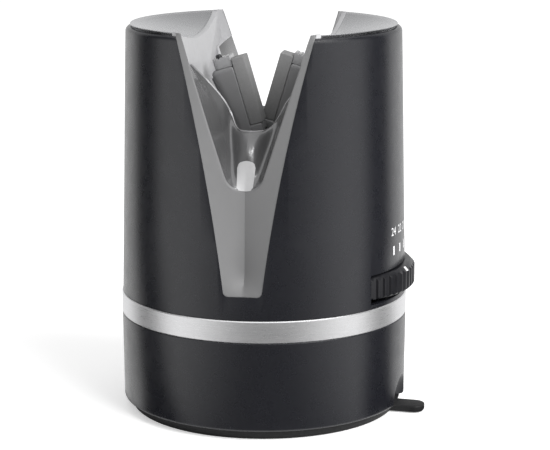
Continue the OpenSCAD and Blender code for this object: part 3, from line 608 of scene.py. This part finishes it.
def mouth(row):
    """Point and outward normal of the mouth's edge: rows 0 to 4 round its foot, 4 to 8 up its flank."""
    if row <= foot_rows:
        turn = -math.pi / 2 + row / foot_rows * (math.pi / 2 - mouth_lean)
        out_x, out_z = math.cos(turn), math.sin(turn)
        return mouth_r * out_x, mouth_mid + mouth_r * out_z, out_x, out_z
    low = mouth_mid - mouth_r * math.sin(mouth_lean)
    z = low + (row - foot_rows) / (crest_end - foot_rows) * (crest_end_z - low)
    if row > crest_end:
        z = crest_end_z + (row - crest_end) * (total_h - crest_end_z)
    return flank_x(z), z, math.cos(mouth_lean), -math.sin(mouth_lean)


def mouth_edge(row):
    x, z = mouth(row)[:2]
    return x, face_y(x, z), z


def along(first, second, share):
    return tuple(a + (b - a) * share for a, b in zip(first, second))


def curve(knots, place):
    """Smooth curve through knots; place runs from 0 to len(knots) - 1."""
    low = min(int(place), len(knots) - 2)
    t = place - low
    near = [knots[min(max(low + k, 0), len(knots) - 1)] for k in (-1, 0, 1, 2)]
    return tuple(0.5 * (2 * q + (r - p) * t + (2 * p - 5 * q + 4 * r - s) * t * t
                        + (3 * q - p - 3 * r + s) * t ** 3) for p, q, r, s in zip(*near))


def saddle_knots(row):
    """Six knots from the mouth's edge up the slope, over the crest and down into the bay.

    The crest's own row gives where it passes and how far the slope leans out in front of it.
    """
    edge = mouth_edge(row)
    cx, cy, cz, lead = crest[row]
    push = nose[row] if row < len(nose) else 0.0
    foot = along(edge, (cx, cy, cz), 0.5)
    foot = (foot[0], foot[1] - push * 0.5, foot[2] + push * 0.3)
    brow = (cx, cy - 3.2 * lead - push, cz - 1.3 * lead - push)
    low = bay_floor - 0.4
    back = (min(cx + (1 if row else 0), bay_w(cz) - 0.3), cy + 1.2, max(cz - 1.2, low))
    end = (min(cx + (2 if row else 0), bay_w(cz) + 0.2), min(cy + 3.5, -12.5), max(cz - 8, low))
    return [edge, foot, brow, (cx, cy, cz), back, end]


saddle_rows = [saddle_knots(row) for row in range(len(crest))]


def saddle_section(place):
    """Fine section of the saddle between two rows of knots, from the mouth's edge to the bay."""
    knots = [curve(line, place) for line in zip(*saddle_rows)]
    knots[0] = mouth_edge(place)
    return [curve(knots, 5 * i / section_steps) for i in range(section_steps + 1)]


def lip_point(place):
    """Point that the mouth's edge rolls towards, above the end of the crest."""
    x, y, z = mouth_edge(place)
    lip = [(x, y, z), (x + 0.1, y + 0.25, z), (x + (bay_w(z) - x) * 0.3, y + 0.7, z)]
    return curve(lip, 5 / section_steps)


def sheet_of(name, rows):
    """A grid shaped into the given rows of points."""
    clear()
    bpy.ops.mesh.primitive_grid_add(x_subdivisions=len(rows[0]) - 1, y_subdivisions=len(rows) - 1, size=1)
    obj = bpy.context.object
    obj.name = name
    for vertex, point in zip(obj.data.vertices, (p for row in rows for p in row)):
        vertex.co = [mm * c for c in point]
    return obj


def joined(name, pieces):
    clear()
    for piece in pieces:
        piece.select_set(True)
    bpy.context.view_layer.objects.active = pieces[0]
    if len(pieces) > 1:
        bpy.ops.object.join()
    pieces[0].name = name
    return pieces[0]


def under_shoulder(x, y, z):
    """Keeps a point below the rim and inside the shell's rounded shoulder."""
    z = min(z, total_h)
    share = (z - total_h + shoulder) / shoulder
    if share > 0:
        limit = rim_r - top_edge * (1 - math.sqrt(1 - share ** 2))
        if math.hypot(x, y) > limit:
            y = math.copysign(math.sqrt(limit ** 2 - x ** 2), y)
    return x * mm, y * mm, z * mm


def pressed(name, *sheets):
    """Right half from rows of points, mirrored about the middle and thickened on its hidden side."""
    obj = joined(name, [sheet_of(name, rows) for rows in sheets])
    edit(obj)
    bpy.ops.mesh.remove_doubles(threshold=0.02 * mm)
    leave()
    modify(obj, "MIRROR", use_mirror_merge=True, merge_threshold=0.02 * mm)
    edit(obj)
    bpy.ops.mesh.normals_make_consistent(inside=False)
    leave()
    lowest = min(obj.data.polygons, key=lambda polygon: polygon.center.z)
    if lowest.normal.y > 0:
        edit(obj)
        bpy.ops.mesh.flip_normals()
        leave()
    modify(obj, "SOLIDIFY", thickness=sheet_t * mm, offset=-1)
    for vertex in obj.data.vertices:
        vertex.co = under_shoulder(*(c / mm for c in vertex.co))
    smooth(obj, 38)
    return obj


def copy_of(piece, name):
    """A copy with its own mesh."""
    twin = piece.copy()
    twin.data = piece.data.copy()
    twin.name = name
    scene.collection.objects.link(twin)
    return twin


def fit_guide(piece, finish):
    """Fixes a piece of the guide at the front, and a copy of it, turned about, at the back."""
    rear = copy_of(piece, piece.name + "_rear")
    stand(rear, turn=180)
    smooth(rear, 38)
    for half in (piece, rear):
        dress(half, finish, "housing", "blade_guide", slot="guide")


face_steps = 12
low_z = mouth_z - bead
low_rows = 24
face_low = []
for i in range(low_rows + 1):
    z = cut_z + (low_z - cut_z) * i / low_rows
    columns = [cut_w(z) * (1 - j / face_steps) for j in range(face_steps + 1)]
    face_low.append([(x, face_y(x, z), z) for x in columns])
face_high = []
slope = []
behind = []
places = [i / 4 for i in range(16)] + [foot_rows + i / 8 for i in range(25)]
places += [crest_end + 0.04] + [crest_end + i / 6 for i in range(1, 7)]
for place in places:
    x, z, nx, nz = mouth(place)
    section = saddle_section(place) if place <= crest_end else [mouth_edge(place), lip_point(place)]
    share = place / rim_row
    height = low_z + (total_h - low_z) * (0.12 * share + 0.88 * share ** 1.35)
    outer = (cut_w(height), height)
    inner = (x + bead * nx, z + bead * nz)
    line = [along(outer, inner, j / face_steps) for j in range(face_steps + 1)]
    flat = [(px, face_y(px, min(pz, total_h)), min(pz, total_h)) for px, pz in line]
    corner = section[0]
    turn_in = min(1.0, bead / max(math.dist(corner, section[1]), 0.01))
    into = along(corner, section[1], turn_in)
    rolled = [along(along(flat[-1], corner, t / 5), along(corner, into, t / 5), t / 5) for t in range(1, 5)]
    face_high.append(flat + rolled + [into])
    if place <= crest_end:
        slope.append([into] + section[1:crest_step + 3])
        behind.append(section[crest_step + 1:])
fit_guide(pressed("guide_face", face_low, face_high), metal)
fit_guide(pressed("guide_saddle", slope), saddle_shade_metal)
# The back of the saddle takes the lighter copy of the metal as painted light.
fit_guide(pressed("guide_saddle_back", behind), bay_light_metal)

# Web and corner posts of the guide, in the lighter copy of the metal, which is
# painted light as on the bay. The web closes the top of the slope against the
# walls, and a post fills each corner above it.
web_front = -33
post_low = 96
post_top = total_h - 0.05
post_steps = 12
post_back = -31.0
top_line = [point for point in saddle_section(crest_end)[:crest_step + 3] if point[1] > web_front]
fit_guide(pressed("guide_web", [[(x + (bay_w(z) + 0.1 - x) * share, y, z) for x, y, z in top_line]
                                for share in (0, 0.5, 1)]), bay_light_metal)


def lofted(name, rings):
    """Closed skin over rings that all have the same number of points."""
    obj = sheet_of(name, [ring + ring[:1] for ring in rings])
    edit(obj)
    bpy.ops.mesh.remove_doubles(threshold=0.001 * mm)
    bpy.ops.mesh.select_all(action="DESELECT")
    bpy.ops.mesh.select_non_manifold()
    bpy.ops.mesh.edge_face_add()
    face_out()
    leave()
    return obj


posts = []
for side in (1, -1):
    rings = []
    for i in range(post_steps + 1):
        z = post_low + (post_top - post_low) * i / post_steps
        inner, outer = flank_x(z), cut_w(z)
        rings.append([(side * x, y, z) for x, y in (
            (inner + 0.15, face_y(inner, z) + 0.35), (bay_w(z) - 0.01, post_back),
            (bay_w(z) + 1.2, post_back), (outer - 0.3, face_y(outer, z) + 1.6))])
    posts.append(lofted("guide_post", rings))
fit_guide(joined("guide_posts", posts), bay_light_metal)

# Pale strip raised on the slope of each saddle, running out through the foot of
# the mouth. It follows the slope and ends round. The strip is a real raised piece,
# and its pale tone is painted light on the up-facing floor of the gutter.
# Pale tone of the strip: painted light on the up-facing floor of the gutter.
strip_light_metal = Finish("strip_painted_light", (0.46, 0.46, 0.465), 0.45, metallic=0.1)
strip_light_metal.tint(strip_light_metal.noise(4), (0.44, 0.44, 0.445), (0.49, 0.49, 0.495))
strip_light_metal.gloss(strip_light_metal.noise(1.5), 0.4, 0.5)
strip_light_metal.bump(strip_light_metal.noise(0.3), 0.002)
strip_out = 0.1875
strip_up = 0.1625
strip_places = 1.3
strip_end = 7.6
strip_round = 1.9
strip_steps = 24
strip_across = 6


def on_section(section, step):
    low = int(step)
    return along(section[low], section[low + 1], step - low)


spine = saddle_section(0)
strip_columns = []
for j in range(strip_across + 1):
    section = saddle_section(strip_places * j / strip_across)
    end = strip_end - strip_round * (1 - math.sqrt(1 - (j / strip_across) ** 2))
    column = []
    for i in range(strip_steps + 1):
        x, y, z = on_section(section, end * i / strip_steps)
        spine_y = on_section(spine, end * i / strip_steps)[1]
        column.append((x, (y + spine_y) / 2 - strip_out, z + strip_up))
    strip_columns.append(column)
fit_guide(pressed("guide_strip", strip_columns), strip_light_metal)

# Walls and floor of the bay between the two saddles, in one pressing that takes
# the lighter copy of the guide metal, painted light where the softbox falls. The
# tops of the walls follow the dish of the caps, and the floor is open at its
# middle for the arms and at its ends for the saddles.
bay_end = 32.9
bay_fillet = 3.0
slot_w = 8.6
slot_l = 9.2
slot_top = 82
floor_w = 12.5
floor_l = 26
past_floor = 40
floor_end_top = 86
under_floor = 70


def bay_outline(grow, top):
    low = bay_floor - grow
    half = bay_w(bay_floor) + grow
    r = bay_fillet + grow
    side = [(half - r + x, low + r + z) for x, z in arc((0, 0), r, -90, -8.5, 10)]
    return both_sides(side + [(bay_w(top) + grow, top)])


lining = through_y("bay_lining", bay_outline(wall_t, total_h), -bay_end, bay_end)
combine(lining, through_y("bay_space", bay_outline(0, total_h + 5), -past_body, past_body))
combine(lining, through_z("arm_slot", oblong(-slot_w, slot_w, -slot_l, slot_l), under_floor, slot_top))
for end in (-1, 1):
    outline = oblong(-floor_w, floor_w, end * floor_l, end * past_floor)
    combine(lining, through_z("floor_end", outline, under_floor, floor_end_top))
combine(lining, ball(dish_r, (0, 0, dish_z + dish_r), 256))
combine(lining, turned("outer_limit", oblong(cap_r, 80, 60, 130)))
soften(lining, 0.2, 40)
smooth(lining)
dress(lining, bay_light_metal, "housing", "blade_guide", slot="guide")

# Arms that carry the stones, crossed on one pivot. Each is a moulded bar with
# rounded outer corners, a stiffening flange, a hub and a tail, drawn upright
# and then leaned on the pivot. The left one is the right one turned about.
arm_plastic = Finish("dark_moulded_arm", (0.18, 0.18, 0.183), 0.3, Specular_IOR_Level=0.6)
arm_plastic.tint(arm_plastic.noise(5), (0.165, 0.165, 0.168), (0.2, 0.2, 0.203))
arm_plastic.gloss(arm_plastic.noise(1.5), 0.28, 0.4)
arm_plastic.bump(arm_plastic.noise(0.3, detail=2), 0.006)
pivot_z = 71.5
arm_angle = 16.5
arm_front = 0.8
arm_back = 5.2
hub_r = 4.4
bore_r = 2.05
gap = 0.6
cross_h = 14.5
stone_x = -cross_h * math.sin(math.radians(arm_angle))
stone_low = cross_h * math.cos(math.radians(arm_angle)) - 3
stone_w = 3.75
stone_h = 19.4
bar_x = stone_x + stone_w + 0.05
bar_y = gap + 7.4
bar_low = 8.5
bar_high = stone_low + stone_h - 2
bar_foot = 3.7
bar_head = 6.4
bar_corner = 2.3
bar_crown = 1.4
flange_top = bar_high - 2.2


def circle(radius, steps=64):
    return arc((0, 0), radius, 0, 360, steps)[:-1]


def rounded(x0, x1, y0, y1, radii, steps=8):
    """Outline of a block with its own radius at each corner, from the low right one round."""
    a, b, c, d = radii
    return (arc((x1 - a, y0 + a), a, -90, 0, steps) + arc((x1 - b, y1 - b), b, 0, 90, steps)
            + arc((x0 + c, y1 - c), c, 90, 180, steps) + arc((x0 + d, y0 + d), d, 180, 270, steps))


def bar_ring(z, draw_in=0.0):
    """Outline of the bar at a height. The bar widens upwards and is drawn in at its crown."""
    share = (z - bar_low) / (bar_high - bar_low)
    outer = bar_foot + (bar_head - bar_foot) * min(1.0, share * 1.07)
    outline = rounded(bar_x + draw_in * 0.3, outer - draw_in, gap + draw_in * 0.6, bar_y - draw_in * 0.6,
                      (bar_corner, bar_corner, 0.35, 0.35))
    return [(x, y, z) for x, y in outline]


def arm_bar():
    rings = [bar_ring(bar_low + (bar_high - bar_crown - bar_low) * i / 10) for i in range(11)]
    for angle in (15, 30, 45, 60, 75, 90):
        rise = bar_crown * math.sin(math.radians(angle))
        draw_in = bar_crown * (1 - math.cos(math.radians(angle)))
        rings.append(bar_ring(bar_high - bar_crown + rise, draw_in))
    bar = lofted("arm_bar", rings)
    hub = through_y("arm_hub", circle(hub_r), gap, arm_back)
    soften(hub, 0.35, 50, 3)
    combine(bar, hub, "UNION")
    tail_outline = rounded(-2.4, 2.4, arm_front, arm_back, (0.8, 0.8, 0.8, 0.8), 4)
    combine(bar, through_z("arm_tail", tail_outline, -12.8, 9.5), "UNION")
    combine(bar, through_z("arm_tongue", oblong(-1.1, 1.1, 1.9, 4.1), -16.1, -11.7), "UNION")
    seat = through_z("stone_seat", oblong(stone_x + 0.5, 0, gap, bar_y), bar_low, stone_low - 0.05)
    soften(seat, 0.5, 50, 3)
    combine(bar, seat, "UNION")
    flange_outline = [(0, bar_low), (4.8, bar_low + 1.1), (7.5, flange_top), (0, flange_top)]
    flange = through_y("arm_flange", flange_outline, gap + 1.1, gap + 2.2)
    soften(flange, 0.3, 50, 3)
    combine(bar, flange, "UNION")
    combine(bar, through_y("pin_bore", circle(bore_r), -1, 15))
    soften(bar, 0.12, 50)
    smooth(bar)
    return bar


def fit_pair(make, finish, node, slot):
    """Fixes a piece to the right arm, and one like it, turned about, to the left arm."""
    for side, turn in (("right", 0), ("left", 180)):
        piece = make()
        piece.name = side + "_" + node + "_piece"
        stand(piece, (0, 0, pivot_z), arm_angle, turn)
        dress(piece, finish, "arm_" + side, side + "_" + node, slot=slot)


fit_pair(arm_bar, arm_plastic, "arm", "arm")

# Sharpening stones, one along the inner side of each arm. They are blocks of
# fine grey grit, and each is glued between its bar and the seat at its foot.
stone_grit = Finish("fine_stone", (0.21, 0.21, 0.21), 0.62, Specular_IOR_Level=0.4)
stone_grit.tint(stone_grit.noise(0.5, detail=6), (0.18, 0.18, 0.18), (0.25, 0.25, 0.25))
stone_grit.gloss(stone_grit.noise(1.0), 0.55, 0.72)
stone_grit.bump(stone_grit.noise(0.14, detail=3), 0.03)
stone_front = arm_front
stone_back = 7.8


def stone_bar():
    outline = oblong(stone_x, stone_x + stone_w, stone_front, stone_back)
    stone = through_z("stone", outline, stone_low, stone_low + stone_h)
    soften(stone, 0.28, 50, 3)
    smooth(stone)
    return stone


fit_pair(stone_bar, stone_grit, "stone", "stone")

# End caps of the arms, moulded in a paler plastic, with four grooves across
# their tops and a bore for the pin. Each is glued onto the end of its bar.
cap_plastic = Finish("pale_ribbed_cap", (0.28, 0.28, 0.285), 0.26, Specular_IOR_Level=0.6)
cap_plastic.tint(cap_plastic.noise(1.5), (0.25, 0.25, 0.255), (0.32, 0.32, 0.325))
cap_plastic.bump(cap_plastic.noise(0.6, detail=3), 0.05)
tip_z = bar_high + 0.05
tip_h = 3
tip_w = bar_head - bar_x
tip_groove_r = 0.3
pin_bore_r = 0.95
pin_center = (bar_x + tip_w / 2, gap + 5.35, 0)


def stone_cap():
    outline = rounded(bar_x, bar_x + tip_w - 1.4, gap + 0.55, gap + 6.85, (1.4, 1.4, 0.3, 0.3), 6)
    tip = through_z("stone_cap", outline, tip_z, tip_z + tip_h)
    for number in range(1, 5):
        x = bar_x + number * tip_w / 6
        groove = [(x + across, tip_z + tip_h + up) for across, up in circle(tip_groove_r, 16)]
        combine(tip, through_y("cap_groove", groove, -1, 12))
    combine(tip, turned("cap_pin_bore", oblong(0, pin_bore_r, tip_z + 1, tip_z + 5), 32, pin_center))
    soften(tip, 0.16, 45)
    smooth(tip)
    return tip


fit_pair(stone_cap, cap_plastic, "stone_cap", "stone_cap")

# Small black pins, one pressed into the bore of each end cap, with a rounded
# head that stands a millimetre above the cap.
pin_black = Finish("black_pin_plastic", (0.02, 0.02, 0.022), 0.35)
pin_black.gloss(pin_black.noise(0.8), 0.3, 0.42)
pin_black.bump(pin_black.noise(0.3), 0.004)
pin_r = 0.9
pin_crown = 0.6


def cap_pin():
    low = tip_z + 1
    outline = ([(0, low), (pin_r, low), (pin_r, low + 2.4)]
               + arc((0.3, low + 2.4), pin_crown, 0, 90, 6) + [(0, low + 3)])
    pin = turned("cap_pin", outline, 32, pin_center)
    smooth(pin)
    return pin


fit_pair(cap_pin, pin_black, "cap_pin", "arm")

# Thumbwheel that sets the angle, moulded black with fine ribs, with a white
# pointer let into its upper edge. It turns on the axle beside the pivot.
wheel_black = Finish("black_wheel_plastic", (0.009, 0.009, 0.011), 0.34, Specular_IOR_Level=0.4)
wheel_black.tint(wheel_black.noise(6), (0.007, 0.007, 0.009), (0.012, 0.012, 0.015))
wheel_black.gloss(wheel_black.noise(1), 0.3, 0.4)
wheel_black.bump(wheel_black.noise(0.3), 0.005)
wheel = copy_of(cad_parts["thumbwheel"], "ribbed_thumbwheel")
edit(wheel)
bpy.ops.mesh.remove_doubles(threshold=0.002 * mm)
bpy.ops.mesh.dissolve_limited(angle_limit=math.radians(1))
leave()
soften(wheel, 0.12)
smooth(wheel)
dress(wheel, wheel_black, "wheel", "thumbwheel", slot="wheel")
coat(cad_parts["wheel_pointer"], white_ink)

# Drive inside the body: a moulded deck and frame, a nylon lifter with nylon
# shoes on the tails of the arms, and turned, bent or pressed steel parts.
inner_plastic = Finish("grey_inner_moulding", (0.07, 0.072, 0.075), 0.42)
inner_plastic.tint(inner_plastic.noise(8), (0.06, 0.062, 0.065), (0.085, 0.087, 0.09))
inner_plastic.gloss(inner_plastic.noise(0.8), 0.36, 0.5)
inner_plastic.bump(inner_plastic.noise(0.35), 0.01)
nylon = Finish("natural_nylon", (0.68, 0.67, 0.62), 0.42)
nylon.tint(nylon.noise(4), (0.64, 0.63, 0.58), (0.72, 0.71, 0.67))
nylon.bump(nylon.noise(0.3), 0.006)
steel = Finish("bright_steel", (0.6, 0.6, 0.61), 0.25, metallic=1.0)
steel.tint(steel.noise(3), (0.54, 0.54, 0.55), (0.66, 0.66, 0.67))
steel.gloss(steel.noise(0.8), 0.18, 0.34)
steel.bump(steel.noise(0.2, stretch=(1, 1, 6)), 0.003)
for finish, nodes in (
        (inner_plastic, ("deck_plate", "inner_frame")),
        (nylon, ("left_shoe", "right_shoe", "lifter")),
        (white_ink, ("scale_marks",)),
        (steel, ("pad_washer", "pad_screw", "base_screws", "shell_screws", "frame_screws", "pivot_pin",
                 "pivot_clip", "left_spring", "right_spring", "guide_rods", "wheel_axle", "axle_clip",
                 "click_spring"))):
    for node in nodes:
        coat(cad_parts[node], finish)

# Studio floor, painted pale, which takes the soft shadow. What the camera sees
# of it is lifted to white without throwing more light on the object.
clear()
bpy.ops.mesh.primitive_plane_add(size=8)
floor = bpy.context.object
floor.name = "pale_floor"
pale = Finish("pale_floor_paint", (0.97, 0.97, 0.97), 0.9, Specular_IOR_Level=0.0, Emission_Strength=0.42)
pale.set("Emission Color", add_node(pale.tree, "LightPath", output="Is Camera Ray"))
pale.tint(pale.noise(60), (0.965, 0.965, 0.965), (0.975, 0.975, 0.975))
coat(floor, pale)

# White room round the studio. It is full white where it is seen, mirrored or
# seen through, and lights the object a little less than that.
room_light = 0.6
world = bpy.data.worlds.new("white_room")
world.use_nodes = True
scene.world = world
room = world.node_tree.nodes["Background"]
room.inputs["Color"].default_value = (1, 1, 1, 1)
camera_ray, glossy_ray, passing_ray = (
    add_node(world.node_tree, "LightPath", output=ray)
    for ray in ("Is Camera Ray", "Is Glossy Ray", "Is Transmission Ray"))
seen = camera_ray.math("MAXIMUM", glossy_ray).math("MAXIMUM", passing_ray)
plug(world.node_tree, room.inputs["Strength"], seen * (1 - room_light) + room_light)

# Shaded card that stands round the object and that only reflections see. Dark
# stretches in it, each at its own heading, give the dark body its long streaks.
card_paint = Finish("reflection_card_paint", (0, 0, 0), 0.9,
                    Specular_IOR_Level=0.0, Emission_Strength=1.0)
point = add_node(card_paint.tree, "TexCoord", output="Object")
east, north, height = (
    add_node(card_paint.tree, "SeparateXYZ", {0: point}, output=axis) for axis in "XYZ")
away = (east * east + north * north).math("SQRT")
heading = north.math("ARCTAN2", east)
shade = card_paint.band(height, 0.13, 0.5, 1.0, 0.35)
streaks = ((-79, 0, 0.1, 8, 68), (165, 2.8, 0.0, 7, 23), (26, -2.0, 0.0, 8, 23))
for middle, twist, tone, near, far in streaks:
    center = (1.0 / away) * math.radians(twist) + math.radians(middle)
    angle = (heading - center).math("COSINE").math("ARCCOSINE")
    shade = add_node(card_paint.tree, "MapRange", {
        "Value": angle, "From Min": math.radians(near), "From Max": math.radians(far),
        "To Min": tone, "To Max": 1.0}, {"interpolation_type": "SMOOTHSTEP"}) * shade
card_paint.set("Emission Color", card_paint.blend(shade, (0, 0, 0), (1, 1, 1)))
card_rings = ((44, 0.6), (120, 0.6), (300, 0.6), (650, 0.6), (650, 450), (650, 900))
card = sheet_of("reflection_card", [[(x, y, level) for x, y in arc((0, 0), radius, 0, 360, 96)]
                                    for radius, level in card_rings])
coat(card, card_paint)
card.visible_camera = False
card.visible_diffuse = False
card.visible_shadow = False
card.visible_transmission = False

# Softbox high at the right, turned towards the object. It brings out the
# rounded edges and throws the soft shadow on the floor.
key_data = bpy.data.lights.new("side_softbox", "AREA")
key_data.shape = "RECTANGLE"
key_data.size = 0.8
key_data.size_y = 0.8
key_data.energy = 15.0
key = bpy.data.objects.new("side_softbox", key_data)
scene.collection.objects.link(key)
key.location = (0.753, -0.527, 0.771)
key.rotation_euler = (math.radians(50), 0, math.radians(55))

scene.view_settings.view_transform = "Standard"
